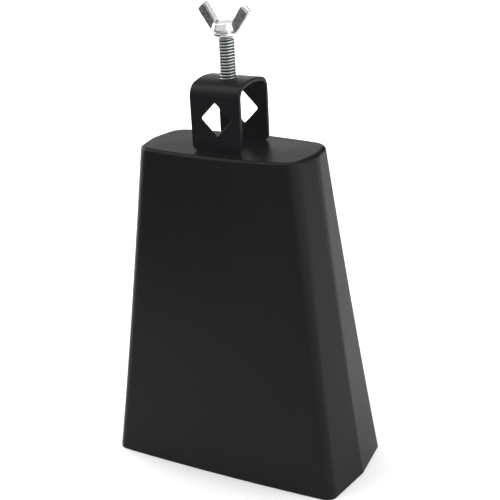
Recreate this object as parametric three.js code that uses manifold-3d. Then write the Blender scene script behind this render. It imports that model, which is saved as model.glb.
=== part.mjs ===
// Rock cowbell with a rod clamp: two pressed steel half shells welded along a
// mid-plane seam, a folded clamp bracket with diamond rod holes, a weld nut and
// a wing screw. Millimetres, +Z up, origin at the centre of the mouth plane,
// front face towards -Y.
import * as THREE from 'three';
import { mergeVertices } from 'three/addons/utils/BufferGeometryUtils.js';
import Module from 'manifold-3d';

const wasm = await Module();
wasm.setup();

// ---------------------------------------------------------------- dimensions
const BELL_H = 165;            // mouth plane to crown face
const SHEET = 1.2;             // shell sheet thickness
const CROWN_W = 85;            // crown, corner to corner along X
const CROWN_D = 36.4;          // crown, corner to corner along Y
const CROWN_BULGE = 3.0;       // crown side edges stand out by this at mid depth
const CROWN_BOW = 4.0;         // crown front and rear edges stand out by this
const CROWN_CORNER_R = 7.5;
const MOUTH_W = 125.2;         // mouth, corner to corner along X
const MOUTH_D = 59.6;          // mouth, corner to corner along Y
const MOUTH_BULGE = 3.4;       // side crease stands out by this at the mouth
const MOUTH_BOW = 1.5;
const MOUTH_CORNER_R = 5.0;
const CREASE_R_MOUTH = 3.0;    // rounding of the side crease at the mouth
const CREASE_R_CROWN = 22;     // and at the crown, where the crease fades
const FLARE = 0.6;             // side walls hollow by this at mid height
const SHOULDER_R = 1.9;        // bend from the walls into the crown
const SEAM_GAP = 0.3;          // gap between the half shells, filled by weld

const STRIP_W = 26.5;          // bracket strip width along X
const STRIP_T = 2.1;           // bracket strip thickness
const BRACKET_D = 28.4;        // outside of front leg to outside of rear leg
const BRACKET_H = 33.2;        // crown face to top of strip
const STRIP_BEND_R = 6.5;       // outer radius of the two bends
const STRIP_CROWN_R = 40;       // outer radius of the crowned top
const LEG_CORNER_R = 3.2;      // rounded lower corners of the legs
const TAB_W = 19.0;            // tab below each leg
const TAB_DROP = 3.6;          // tab length below the crown face
const SLOT_CLEAR = 0.4;        // slot clearance round each tab, each side
const DIAMOND_HALF = 8.45;     // half diagonal of the square rod hole
const DIAMOND_Z = 15.7;        // rod axis above the crown face
const BOLT_HOLE_R = 4.4;

const THREAD_R = 3.95;         // 5/16 inch wing screw
const THREAD_ROOT_R = 3.25;
const PITCH = 1.411;           // 18 threads per inch
const THREAD_LEN = 25.4;       // below the screw datum
const SCREW_OUT = 17.6;        // screw datum above the strip, at rest
const NUT_R = 5.8;
const NUT_H = 5.0;
const NUT_BORE_R = 4.3;
const NUT_DROP = 0.36;         // clears the hollow of the crowned top

const COLLAR_FACE = 1.0;       // pressing face above the screw datum
const COLLAR_FACE_R = 4.5;
const COLLAR_R = 6.25;
const COLLAR_LOW = 2.3;        // lower and upper edge of the collar's rim
const COLLAR_HIGH = 3.6;
const HUB_R = 6.6;
const HUB_TOP_R = 5.7;
const HUB_TOP = 8.0;           // hub face above the datum
const WING_T = 3.2;
const WING_ANGLE = -14;        // wing plane from +X, degrees

const BEAD_W = 4.0;            // weld bead width
const BEAD_H = 1.3;            // weld bead height
const GAP = 0.3;

// ------------------------------------------------------------------- helpers
function toSolid(geometry) {
  const g = geometry.clone();
  g.deleteAttribute('normal');
  g.deleteAttribute('uv');
  const m = mergeVertices(g, 1e-4);
  return new wasm.Manifold(new wasm.Mesh({
    numProp: 3,
    vertProperties: new Float32Array(m.attributes.position.array),
    triVerts: new Uint32Array(m.index.array),
  }));
}

function toGeometry(solid) {
  const m = solid.getMesh();
  const g = new THREE.BufferGeometry();
  const p = new Float32Array(m.numVert * 3);
  for (let i = 0; i < m.numVert; i++) {
    for (let k = 0; k < 3; k++) p[i * 3 + k] = m.vertProperties[i * m.numProp + k];
  }
  g.setAttribute('position', new THREE.BufferAttribute(p, 3));
  g.setIndex(new THREE.BufferAttribute(new Uint32Array(m.triVerts), 1));
  g.computeVertexNormals();
  return g;
}

const lerp = (a, b, t) => a + (b - a) * t;

// Closed plan outline of the body: a hexagon with rounded corners whose front
// and rear edges bow outwards. Always the same number of points.
function planOutline(w, d, bulge, bow, rCorner, rCrease) {
  const v = [
    [-w / 2, -d / 2, rCorner, 6], [w / 2, -d / 2, rCorner, 6], [w / 2 + bulge, 0, rCrease, 4],
    [w / 2, d / 2, rCorner, 6], [-w / 2, d / 2, rCorner, 6], [-w / 2 - bulge, 0, rCrease, 4],
  ];
  const pts = [];
  for (let i = 0; i < 6; i++) {
    const [x, y, rWanted, n] = v[i];
    const p = new THREE.Vector2(x, y);
    const a = new THREE.Vector2(...v[(i + 5) % 6]).sub(p);
    const b = new THREE.Vector2(...v[(i + 1) % 6]).sub(p);
    const room = Math.min(a.length(), b.length()) * 0.48;
    a.normalize();
    b.normalize();
    const half = Math.acos(THREE.MathUtils.clamp(a.dot(b), -1, 1)) / 2;
    const r = Math.min(rWanted, room * Math.tan(half));
    const cut = r / Math.tan(half);
    const s = p.clone().addScaledVector(a, cut);
    const e = p.clone().addScaledVector(b, cut);
    const c = p.clone().addScaledVector(a.clone().add(b).normalize(), r / Math.sin(half));
    const a0 = Math.atan2(s.y - c.y, s.x - c.x);
    let sweep = Math.atan2(e.y - c.y, e.x - c.x) - a0;
    while (sweep > Math.PI) sweep -= 2 * Math.PI;
    while (sweep < -Math.PI) sweep += 2 * Math.PI;
    for (let k = 0; k <= n; k++) {
      pts.push([c.x + r * Math.cos(a0 + sweep * k / n), c.y + r * Math.sin(a0 + sweep * k / n)]);
    }
    if (i === 0 || i === 3) {
      // the bowed front and rear edges get points of their own
      const q = new THREE.Vector2(...v[(i + 1) % 6]);
      const back = new THREE.Vector2(...v[(i + 2) % 6]).sub(q).normalize();
      const h2 = Math.acos(THREE.MathUtils.clamp(b.clone().negate().dot(back), -1, 1)) / 2;
      const r2 = Math.min(rCorner, room * Math.tan(h2));
      const e2 = q.clone().addScaledVector(b, -r2 / Math.tan(h2));
      for (let k = 1; k < 10; k++) pts.push([lerp(e.x, e2.x, k / 10), lerp(e.y, e2.y, k / 10)]);
    }
  }
  return pts.map(([x, y]) => {
    const u = Math.max(0, 1 - (2 * x / w) ** 2);
    return [x, y + THREE.MathUtils.clamp(y / (d / 2), -1, 1) * bow * u];
  });
}

// Plan section of the body at height z, drawn in by inset.
function section(z, inset) {
  const t = z / BELL_H;
  const f = FLARE * 4 * t * (1 - t);
  const r = Math.max(lerp(MOUTH_CORNER_R, CROWN_CORNER_R, t) - inset, 1.2);
  return planOutline(
    lerp(MOUTH_W, CROWN_W, t) - 2 * inset - 2 * f,
    lerp(MOUTH_D, CROWN_D, t) - 2 * inset,
    lerp(MOUTH_BULGE, CROWN_BULGE, t), lerp(MOUTH_BOW, CROWN_BOW, t),
    r, lerp(CREASE_R_MOUTH, CREASE_R_CROWN, Math.max(t, 0)),
  );
}

// Closed solid through a stack of plan sections [{ z, ring }].
function loft(stack) {
  const n = stack[0].ring.length;
  const pos = [];
  for (const { z, ring } of stack) for (const [x, y] of ring) pos.push(x, y, z);
  const idx = [];
  for (let j = 0; j + 1 < stack.length; j++) {
    for (let i = 0; i < n; i++) {
      const a = j * n + i, b = j * n + (i + 1) % n, c = a + n, d = b + n;
      idx.push(a, b, d, a, d, c);
    }
  }
  const cap = (j, up) => {
    const ring = stack[j].ring.map(([x, y]) => new THREE.Vector2(x, y));
    for (const [a, b, c] of THREE.ShapeUtils.triangulateShape(ring, [])) {
      if (up) idx.push(j * n + a, j * n + b, j * n + c);
      else idx.push(j * n + a, j * n + c, j * n + b);
    }
  };
  cap(0, false);
  cap(stack.length - 1, true);
  const g = new THREE.BufferGeometry();
  g.setAttribute('position', new THREE.Float32BufferAttribute(pos, 3));
  g.setIndex(idx);
  return g;
}

function box(x0, x1, y0, y1, z0, z1) {
  const g = new THREE.BoxGeometry(x1 - x0, y1 - y0, z1 - z0);
  g.translate((x0 + x1) / 2, (y0 + y1) / 2, (z0 + z1) / 2);
  return g;
}

function cylinderZ(r, z0, z1, sides) {
  const g = new THREE.CylinderGeometry(r, r, z1 - z0, sides);
  g.rotateX(Math.PI / 2);
  g.translate(0, 0, (z0 + z1) / 2);
  return g;
}

// Lathe about Z from a closed [radius, z] profile.
function latheZ(profile, sides) {
  const g = new THREE.LatheGeometry(profile.map(([r, z]) => new THREE.Vector2(r, z)), sides);
  g.rotateX(Math.PI / 2);
  return g;
}

// Extrude an outline drawn in X and Z along Y, centred on yMid.
function plateXZ(shape, thickness, yMid, curveSegments = 8) {
  const g = new THREE.ExtrudeGeometry(shape, { depth: thickness, bevelEnabled: false, curveSegments });
  g.rotateX(Math.PI / 2);
  g.translate(0, yMid + thickness / 2, 0);
  return g;
}

// ---------------------------------------------------------------- body shells
function bodySolid() {
  const heights = [0, 25, 50, 75, 100, 125, 145];
  const outer = heights.map((z) => ({ z, ring: section(z, 0) }));
  for (const deg of [0, 25, 50, 75, 90]) {
    const a = THREE.MathUtils.degToRad(deg);
    const z = BELL_H - SHOULDER_R * (1 - Math.sin(a));
    outer.push({ z, ring: section(z, SHOULDER_R * (1 - Math.cos(a))) });
  }
  const innerR = SHOULDER_R - SHEET;
  const inner = [-6, ...heights.slice(1)].map((z) => ({ z, ring: section(z, SHEET) }));
  for (const deg of [0, 45, 90]) {
    const a = THREE.MathUtils.degToRad(deg);
    const z = BELL_H - SHEET - innerR * (1 - Math.sin(a));
    inner.push({ z, ring: section(z, SHEET + innerR * (1 - Math.cos(a))) });
  }
  return toSolid(loft(outer)).subtract(toSolid(loft(inner)));
}

const legY = BRACKET_D / 2 - STRIP_T / 2;         // mid-thickness of each leg
const body = bodySolid();

function slotFor(side) {
  const y = side * legY;
  return toSolid(box(-TAB_W / 2 - SLOT_CLEAR, TAB_W / 2 + SLOT_CLEAR,
    y - STRIP_T / 2 - SLOT_CLEAR, y + STRIP_T / 2 + SLOT_CLEAR, BELL_H - 8, BELL_H + 8));
}
const frontShell = body
  .intersect(toSolid(box(-100, 100, -60, -SEAM_GAP / 2, -20, BELL_H + 20)))
  .subtract(slotFor(-1));
const rearShell = body
  .intersect(toSolid(box(-100, 100, SEAM_GAP / 2, 60, -20, BELL_H + 20)))
  .subtract(slotFor(1));

// ----------------------------------------------------------------- weld beads
// Inside bead up the middle of one side wall.
function sideSeamBead(side) {
  const stack = [];
  const lean = (MOUTH_W - CROWN_W) / 2 / BELL_H;
  for (const z of [4, 30, 60, 90, 120, 150, 159]) {
    const ring = section(z, SHEET);
    const xWall = Math.max(...ring.map(([x]) => x)) - GAP - lean * 1.2;
    const taper = z === 4 || z === 159 ? 0.55 : 1;
    const pts = [];
    for (let k = 0; k <= 8; k++) {
      const a = Math.PI * k / 8;
      pts.push([side * (xWall - 0.25 - BEAD_H * taper * Math.sin(a)), Math.cos(a) * BEAD_W / 2 * taper]);
    }
    // the flat back follows the crease, so it stays clear of both shells
    pts.push([side * (xWall - 0.05), 0]);
    stack.push({ z, ring: side > 0 ? pts : pts.reverse() });
  }
  return loft(stack);
}

// Bead under the crown along the seam, between the side walls.
function crownSeamBead() {
  const s = new THREE.Shape();
  s.moveTo(-BEAD_W / 2, 0);
  for (let k = 1; k < 8; k++) {
    const a = Math.PI * k / 8;
    s.lineTo(-Math.cos(a) * BEAD_W / 2, -Math.sin(a) * BEAD_H);
  }
  s.lineTo(BEAD_W / 2, 0);
  s.closePath();
  const half = CROWN_W / 2 - 5;
  const g = new THREE.ExtrudeGeometry(s, { depth: half * 2, bevelEnabled: false });
  g.rotateX(Math.PI / 2);
  g.rotateZ(Math.PI / 2);
  g.translate(-half, 0, -SHEET - GAP);
  g.computeBoundingBox();
  g.translate(-(g.boundingBox.min.x + g.boundingBox.max.x) / 2, 0, 0);
  return g;
}

// Fillet ring round a bracket tab, below the crown.
function tabBead() {
  const ring = (x, y, r) => {
    const p = new THREE.Shape();
    p.moveTo(-x + r, -y);
    p.lineTo(x - r, -y);
    p.quadraticCurveTo(x, -y, x, -y + r);
    p.lineTo(x, y - r);
    p.quadraticCurveTo(x, y, x - r, y);
    p.lineTo(-x + r, y);
    p.quadraticCurveTo(-x, y, -x, y - r);
    p.lineTo(-x, -y + r);
    p.quadraticCurveTo(-x, -y, -x + r, -y);
    return p;
  };
  const x0 = TAB_W / 2 + GAP, y0 = STRIP_T / 2 + GAP;
  const outline = ring(x0 + 1.9, y0 + 1.9, 1.8);
  outline.holes.push(ring(x0, y0, 0.3));
  const g = new THREE.ExtrudeGeometry(outline, { depth: 1.6, bevelEnabled: false, curveSegments: 4 });
  g.translate(0, 0, -SHEET - GAP - 1.6);
  return g;
}

// ------------------------------------------------------------- clamp bracket
// Local frame: z = 0 on the crown face.
function bracket() {
  const y = BRACKET_D / 2, t = STRIP_T, R = STRIP_BEND_R, C = STRIP_CROWN_R;
  const zTop = BRACKET_H - C;             // centre of the crowned top's arc
  const zBend = zTop + Math.sqrt((C - R) ** 2 - (y - R) ** 2);
  const meet = Math.atan2(zBend - zTop, y - R);
  const u = new THREE.Shape();            // side profile, drawn in Y and Z
  u.moveTo(-y, -TAB_DROP);
  u.lineTo(-y + t, -TAB_DROP);
  u.lineTo(-y + t, zBend);
  u.absarc(-y + R, zBend, R - t, Math.PI, Math.PI - meet, true);
  u.absarc(0, zTop, C - t, Math.PI - meet, meet, true);
  u.absarc(y - R, zBend, R - t, meet, 0, true);
  u.lineTo(y - t, -TAB_DROP);
  u.lineTo(y, -TAB_DROP);
  u.lineTo(y, zBend);
  u.absarc(y - R, zBend, R, 0, meet, false);
  u.absarc(0, zTop, C, meet, Math.PI - meet, false);
  u.absarc(-y + R, zBend, R, Math.PI - meet, Math.PI, false);
  u.closePath();
  const strip = new THREE.ExtrudeGeometry(u, { depth: STRIP_W, bevelEnabled: false, curveSegments: 10 });
  strip.rotateX(Math.PI / 2);             // profile Y -> Y, profile Z -> Z, depth -> X
  strip.rotateZ(Math.PI / 2);
  strip.computeBoundingBox();
  strip.translate(-(strip.boundingBox.min.x + strip.boundingBox.max.x) / 2,
    -(strip.boundingBox.min.y + strip.boundingBox.max.y) / 2, 0);

  const w = STRIP_W / 2, c = LEG_CORNER_R, tw = TAB_W / 2;
  const face = new THREE.Shape();         // leg outline, drawn in X and Z
  face.moveTo(-tw, -TAB_DROP - 1);
  face.lineTo(tw, -TAB_DROP - 1);
  face.lineTo(tw, 0);
  face.lineTo(w - c, 0);
  face.absarc(w - c, c, c, -Math.PI / 2, 0, false);
  face.lineTo(w + 1, c);
  face.lineTo(w + 1, BRACKET_H + 1);
  face.lineTo(-w - 1, BRACKET_H + 1);
  face.lineTo(-w - 1, c);
  face.lineTo(-w, c);
  face.absarc(-w + c, c, c, Math.PI, Math.PI * 1.5, false);
  face.lineTo(-tw, 0);
  face.closePath();

  const diamond = new THREE.Shape();
  diamond.moveTo(-DIAMOND_HALF, DIAMOND_Z);
  diamond.lineTo(0, DIAMOND_Z - DIAMOND_HALF);
  diamond.lineTo(DIAMOND_HALF, DIAMOND_Z);
  diamond.lineTo(0, DIAMOND_Z + DIAMOND_HALF);
  diamond.closePath();

  return toSolid(strip)
    .intersect(toSolid(plateXZ(face, BRACKET_D + 10, 0, 6)))
    .subtract(toSolid(plateXZ(diamond, BRACKET_D + 20, 0)))
    .subtract(toSolid(cylinderZ(BOLT_HOLE_R, BRACKET_H - 6, BRACKET_H + 6, 32)));
}

// ------------------------------------------------------------------ clamp nut
// Round weld nut under the strip. Local z = 0 at its upper face.
function nut() {
  return latheZ([
    [NUT_BORE_R, 0], [NUT_BORE_R, -NUT_H], [NUT_R - 0.6, -NUT_H], [NUT_R, -NUT_H + 0.6],
    [NUT_R, -0.25], [NUT_R - 0.8, 0], [NUT_BORE_R, 0],
  ], 32);
}

// ----------------------------------------------------------------- wing screw
// Threaded stud. Local z = 0 at the screw datum, thread up to the collar face.
function stud() {
  const p = [[0, -THREAD_LEN], [THREAD_ROOT_R - 0.5, -THREAD_LEN], [THREAD_ROOT_R, -THREAD_LEN + 0.6]];
  const turns = Math.floor((THREAD_LEN + COLLAR_FACE - 0.9) / PITCH);
  for (let i = 0; i < turns; i++) {
    const z = -THREAD_LEN + 0.8 + i * PITCH;
    p.push([THREAD_ROOT_R, z + 0.10], [THREAD_R, z + PITCH / 2 - 0.1], [THREAD_R, z + PITCH / 2 + 0.1],
      [THREAD_ROOT_R, z + PITCH - 0.10]);
  }
  p.push([THREAD_ROOT_R, 4.5], [0, 4.5]);
  return latheZ(p, 20);
}

// Cast head: collar, hub and two ears, with a blind bore for the stud.
function head() {
  const collar = latheZ([[0, COLLAR_FACE], [COLLAR_FACE_R, COLLAR_FACE], [COLLAR_R - 0.35, COLLAR_LOW - 0.4],
    [COLLAR_R, COLLAR_LOW], [COLLAR_R, COLLAR_HIGH], [COLLAR_R - 0.25, COLLAR_HIGH + 0.2],
    [COLLAR_R - 0.25, COLLAR_HIGH + 0.4], [HUB_R, COLLAR_HIGH + 0.6], [HUB_R, COLLAR_HIGH + 1.3],
    [HUB_TOP_R, HUB_TOP - 0.5], [HUB_TOP_R - 0.5, HUB_TOP], [0, HUB_TOP]], 32);
  const ear = new THREE.Shape();          // right ear, drawn in the wing plane
  ear.moveTo(2.2, 5.2);
  ear.lineTo(6.0, 2.95);
  ear.quadraticCurveTo(7.6, 3.05, 9.0, 4.65);
  ear.lineTo(16.3, 12.9);
  ear.quadraticCurveTo(16.95, 13.7, 16.2, 14.3);
  ear.lineTo(13.0, 16.7);
  ear.quadraticCurveTo(12.2, 17.25, 11.5, 16.35);
  ear.lineTo(5.6, 8.5);
  ear.quadraticCurveTo(4.5, 7.2, 2.2, 7.2);
  ear.closePath();
  const opts = { depth: WING_T - 0.8, bevelEnabled: true, bevelThickness: 0.4, bevelSize: 0.4,
    bevelOffset: -0.4, bevelSegments: 2, curveSegments: 6 };
  const right = new THREE.ExtrudeGeometry(ear, opts);
  right.rotateX(Math.PI / 2);
  right.translate(0, (WING_T - 0.8) / 2, 0);
  const left = right.clone();
  left.rotateZ(Math.PI);
  return toSolid(collar).add(toSolid(right)).add(toSolid(left))
    .subtract(toSolid(cylinderZ(THREAD_ROOT_R + 0.3, -2, 4.8, 24)));
}

// ------------------------------------------------------------------- assembly
const paint = (hex, roughness = 0.42) =>
  new THREE.MeshStandardMaterial({ color: hex, roughness, metalness: 0.0 });
const zinc = (hex, roughness) =>
  new THREE.MeshStandardMaterial({ color: hex, roughness, metalness: 1.0 });

function part(name, shape, material) {
  const geometry = shape instanceof THREE.BufferGeometry ? shape : toGeometry(shape);
  const mesh = new THREE.Mesh(geometry, material);
  mesh.name = name;
  return mesh;
}

const cowbell = new THREE.Group();

const bell = new THREE.Group();
bell.add(
  part('front_shell', frontShell, paint(0x1b1b1c)),
  part('rear_shell', rearShell, paint(0x1b1b1c)),
  part('left_seam_weld', toSolid(sideSeamBead(-1)), paint(0x202021, 0.5)),
  part('right_seam_weld', toSolid(sideSeamBead(1)), paint(0x202021, 0.5)),
);
cowbell.add(bell);

const onCrown = new THREE.Group();
onCrown.position.z = BELL_H;
cowbell.add(onCrown);

const crownWeld = part('crown_seam_weld', toSolid(crownSeamBead()), paint(0x202021, 0.5));
const frontTabWeld = part('front_tab_weld', toSolid(tabBead()), paint(0x202021, 0.5));
frontTabWeld.position.y = -legY;
const rearTabWeld = part('rear_tab_weld', toSolid(tabBead()), paint(0x202021, 0.5));
rearTabWeld.position.y = legY;
const clampBracket = part('clamp_bracket', bracket(), paint(0x1c1c1e));
const clampNut = part('clamp_nut', toSolid(nut()), paint(0x1f1f20));
clampNut.position.z = BRACKET_H - STRIP_T - NUT_DROP;
onCrown.add(crownWeld, frontTabWeld, rearTabWeld, clampBracket, clampNut);

const wingScrew = new THREE.Group();
wingScrew.position.z = BRACKET_H + SCREW_OUT;
wingScrew.rotation.z = THREE.MathUtils.degToRad(WING_ANGLE);
wingScrew.add(
  part('screw_stud', toSolid(stud()), zinc(0x9aa09c, 0.35)),
  part('wing_head', head(), zinc(0xd4d4d2, 0.22)),
);
onCrown.add(wingScrew);

export default cowbell;
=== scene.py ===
import math

import bmesh
import bpy
import numpy as np
from mathutils import Matrix, Vector
from mathutils.geometry import delaunay_2d_cdt


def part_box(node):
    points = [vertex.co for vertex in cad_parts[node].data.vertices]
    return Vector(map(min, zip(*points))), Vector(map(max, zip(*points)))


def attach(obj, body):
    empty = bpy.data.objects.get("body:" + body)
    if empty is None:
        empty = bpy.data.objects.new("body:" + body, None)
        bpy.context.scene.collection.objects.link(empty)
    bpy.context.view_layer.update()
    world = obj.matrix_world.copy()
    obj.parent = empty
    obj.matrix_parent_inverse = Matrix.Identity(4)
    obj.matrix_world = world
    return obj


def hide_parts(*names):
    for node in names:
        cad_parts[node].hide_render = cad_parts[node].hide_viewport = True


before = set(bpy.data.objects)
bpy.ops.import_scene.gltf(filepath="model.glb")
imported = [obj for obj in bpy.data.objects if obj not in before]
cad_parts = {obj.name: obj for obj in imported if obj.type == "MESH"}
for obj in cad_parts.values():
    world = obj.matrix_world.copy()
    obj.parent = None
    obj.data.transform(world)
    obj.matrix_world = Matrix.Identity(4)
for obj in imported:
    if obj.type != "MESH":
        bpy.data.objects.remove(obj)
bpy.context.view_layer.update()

MM = 0.001

# ------------------------------------------------------------------ sizes, mm
BELL_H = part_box("front_shell")[1].z / MM
SHEET = 1.2
CROWN_W, CROWN_D, CROWN_BULGE, CROWN_BOW, CROWN_CORNER_R = 85.0, 36.4, 3.0, 4.0, 7.5
MOUTH_W, MOUTH_D, MOUTH_BULGE, MOUTH_BOW, MOUTH_CORNER_R = 125.2, 59.6, 3.4, 1.5, 5.0
CREASE_R_MOUTH, CREASE_R_CROWN = 3.0, 22.0
FLARE, SHOULDER_R = 0.6, 1.9
CROWN_DOME = 0.3
RIM_R = 0.38

STRIP_W, STRIP_T, BRACKET_D, BRACKET_H = 26.5, 2.1, 28.4, 33.2
STRIP_BEND_R, STRIP_CROWN_R, LEG_CORNER_R, TAB_W, TAB_DROP = 6.5, 40.0, 3.2, 19.0, 3.6
DIAMOND_HALF, DIAMOND_Z, BOLT_HOLE_R = 8.45, 15.7, 4.4
STRIP_EDGE = 0.42
LEG_Y = BRACKET_D / 2 - STRIP_T / 2

THREAD_R, THREAD_ROOT_R, PITCH, THREAD_LEN = 3.95, 3.25, 1.411, 25.4
NUT_R, NUT_H, NUT_BORE_R = 5.8, 5.0, 4.3
DATUM_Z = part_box("wing_head")[0].z / MM - 1.0   # screw datum, at rest
STRIP_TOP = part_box("clamp_bracket")[1].z / MM
WING_T, WING_ANGLE = 3.2, math.radians(-14)


# ------------------------------------------------------------------- helpers
def lerp(a, b, t):
    return a + (b - a) * t


def smooth01(t):
    t = np.clip(t, 0.0, 1.0)
    return t * t * (3 - 2 * t)


def new_mesh(name, verts, faces, loop_normals=None, smooth=True):
    """Object from points in millimetres and faces."""
    me = bpy.data.meshes.new(name)
    me.from_pydata([tuple(float(c) * MM for c in v) for v in verts], [], faces)
    me.validate()
    me.update()
    me.polygons.foreach_set("use_smooth", [smooth] * len(me.polygons))
    if loop_normals is not None:
        me.normals_split_custom_set([tuple(map(float, n)) for n in loop_normals])
    ob = bpy.data.objects.new(name, me)
    bpy.context.scene.collection.objects.link(ob)
    return ob


def unit(v):
    v = np.asarray(v, float)
    return v / np.maximum(np.linalg.norm(v, axis=-1, keepdims=True), 1e-12)


def lathe(profile, steps, closed=True):
    """Points and faces of a profile [(r, z)] turned about Z. Closed profiles join last to first."""
    verts, faces = [], []
    n = len(profile)
    for i in range(steps):
        a = 2 * math.pi * i / steps
        for r, z in profile:
            verts.append((r * math.cos(a), r * math.sin(a), z))
    rows = n if closed else n - 1
    for i in range(steps):
        i2 = (i + 1) % steps
        for k in range(rows):
            k2 = (k + 1) % n
            faces.append((i * n + k, i2 * n + k, i2 * n + k2, i * n + k2))
    return verts, faces


def rounded_profile(points, radii, steps=5):
    """Closed (r, z) polygon with each corner rounded by its radius."""
    out = []
    n = len(points)
    for i in range(n):
        p = np.array(points[i], float)
        a = np.array(points[i - 1], float) - p
        b = np.array(points[(i + 1) % n], float) - p
        la, lb = np.linalg.norm(a), np.linalg.norm(b)
        r = radii[i]
        if r <= 0 or la < 1e-6 or lb < 1e-6:
            out.append(tuple(p))
            continue
        a, b = a / la, b / lb
        half = math.acos(max(-1, min(1, float(a @ b)))) / 2
        if half > math.pi / 2 - 0.02:
            out.append(tuple(p))
            continue
        r = min(r, 0.48 * min(la, lb) * math.tan(half))
        cut = r / math.tan(half)
        c = p + unit(a + b) * (r / math.sin(half))
        s, e = p + a * cut, p + b * cut
        a0 = math.atan2(s[1] - c[1], s[0] - c[0])
        sw = math.atan2(e[1] - c[1], e[0] - c[0]) - a0
        while sw > math.pi:
            sw -= 2 * math.pi
        while sw < -math.pi:
            sw += 2 * math.pi
        for k in range(steps + 1):
            t = a0 + sw * k / steps
            out.append((c[0] + r * math.cos(t), c[1] + r * math.sin(t)))
    return out


# ------------------------------------------------------------ material makers
def node_tools(mat):
    mat.use_nodes = True
    nt = mat.node_tree
    nt.nodes.clear()
    out = nt.nodes.new("ShaderNodeOutputMaterial")
    bsdf = nt.nodes.new("ShaderNodeBsdfPrincipled")
    nt.links.new(bsdf.outputs[0], out.inputs[0])
    coord = nt.nodes.new("ShaderNodeTexCoord")

    def noise(scale, detail=3.0, rough=0.5, vector=None):
        n = nt.nodes.new("ShaderNodeTexNoise")
        n.inputs["Scale"].default_value = scale
        n.inputs["Detail"].default_value = detail
        n.inputs["Roughness"].default_value = rough
        nt.links.new(vector or coord.outputs["Object"], n.inputs["Vector"])
        return n.outputs["Fac"]

    def ramp(fac, stops):
        r = nt.nodes.new("ShaderNodeValToRGB")
        el = r.color_ramp.elements
        while len(el) < len(stops):
            el.new(0.5)
        for e, (pos, col) in zip(el, stops):
            e.position = pos
            e.color = (*col, 1) if len(col) == 3 else col
        nt.links.new(fac, r.inputs[0])
        return r.outputs[0]

    def span(fac, lo, hi, from_lo=0.3, from_hi=0.7):
        m = nt.nodes.new("ShaderNodeMapRange")
        m.inputs["From Min"].default_value = from_lo
        m.inputs["From Max"].default_value = from_hi
        m.inputs["To Min"].default_value = lo
        m.inputs["To Max"].default_value = hi
        nt.links.new(fac, m.inputs["Value"])
        return m.outputs[0]

    def math_node(op, a, b):
        m = nt.nodes.new("ShaderNodeMath")
        m.operation = op
        for i, v in enumerate((a, b)):
            if isinstance(v, (int, float)):
                m.inputs[i].default_value = v
            else:
                nt.links.new(v, m.inputs[i])
        return m.outputs[0]

    def mix(fac, a, b):
        m = nt.nodes.new("ShaderNodeMix")
        m.data_type = "RGBA"
        for key, v in ((0, fac), (6, a), (7, b)):
            if isinstance(v, (int, float)):
                m.inputs[key].default_value = v
            elif isinstance(v, tuple):
                m.inputs[key].default_value = (*v, 1)
            else:
                nt.links.new(v, m.inputs[key])
        return m.outputs[2]

    def bump(height, strength, distance, normal=None):
        b = nt.nodes.new("ShaderNodeBump")
        b.inputs["Strength"].default_value = strength
        b.inputs["Distance"].default_value = distance
        nt.links.new(height, b.inputs["Height"])
        if normal is not None:
            nt.links.new(normal, b.inputs["Normal"])
        return b.outputs[0]

    return nt, bsdf, coord, noise, ramp, span, math_node, mix, bump


def powder_coat(name, base, rough, specular, grain=1.0, worn_ring=None, worn_edges=False):
    """Satin black powder coat: a faint orange peel, a finer grain and slow changes in gloss."""
    mat = bpy.data.materials.new(name)
    nt, bsdf, coord, noise, ramp, span, maths, mix, bump = node_tools(mat)
    slow = noise(28, 2.0)                     # hand-sized patches
    peel = noise(520, 2.0, 0.45)              # orange peel, about 2 mm
    fine = noise(2600, 2.0, 0.6)              # powder grain, about 0.4 mm
    specks = noise(1500, 1.0, 0.5)
    lo, hi = tuple(0.86 * c for c in base), tuple(1.16 * c for c in base)
    colour = mix(span(slow, 0.0, 1.0), lo, hi)
    colour = mix(span(specks, 0.0, 0.55, 0.60, 0.78), colour, tuple(min(1, 2.0 * c + 0.001) for c in base))
    roughness = maths("ADD", span(slow, rough - 0.025, rough + 0.03), span(fine, -0.02, 0.025))
    if worn_ring:
        # bare steel rubbed through where the screw turns in its hole
        r0, r1, top = worn_ring
        sep = nt.nodes.new("ShaderNodeSeparateXYZ")
        nt.links.new(coord.outputs["Object"], sep.inputs[0])
        r = maths("SQRT", maths("ADD", maths("MULTIPLY", sep.outputs[0], sep.outputs[0]),
                                maths("MULTIPLY", sep.outputs[1], sep.outputs[1])), 0)
        r = maths("ADD", r, maths("MULTIPLY", maths("SUBTRACT", noise(900, 2), 0.5), 0.0016))
        near = span(r, 1.0, 0.0, r0 * MM, r1 * MM)
        above = span(sep.outputs[2], 0.0, 1.0, (top - 0.8) * MM, (top - 0.5) * MM)
        worn = maths("MULTIPLY", maths("MULTIPLY", near, above), span(noise(700, 3, 0.6), 0.0, 0.8, 0.46, 0.62))
        colour = mix(worn, colour, (0.33, 0.33, 0.34))
        roughness = maths("ADD", roughness, maths("MULTIPLY", worn, -0.06))
        nt.links.new(maths("MULTIPLY", worn, 0.85), bsdf.inputs["Metallic"])
    nt.links.new(colour, bsdf.inputs["Base Color"])
    nt.links.new(roughness, bsdf.inputs["Roughness"])
    n1 = bump(peel, 0.16 * grain, 0.0004)
    n2 = bump(fine, 0.14 * grain, 0.00012, n1)
    nt.links.new(n2, bsdf.inputs["Normal"])
    bsdf.inputs["Specular IOR Level"].default_value = specular
    bsdf.inputs["IOR"].default_value = 1.5
    return mat


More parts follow.
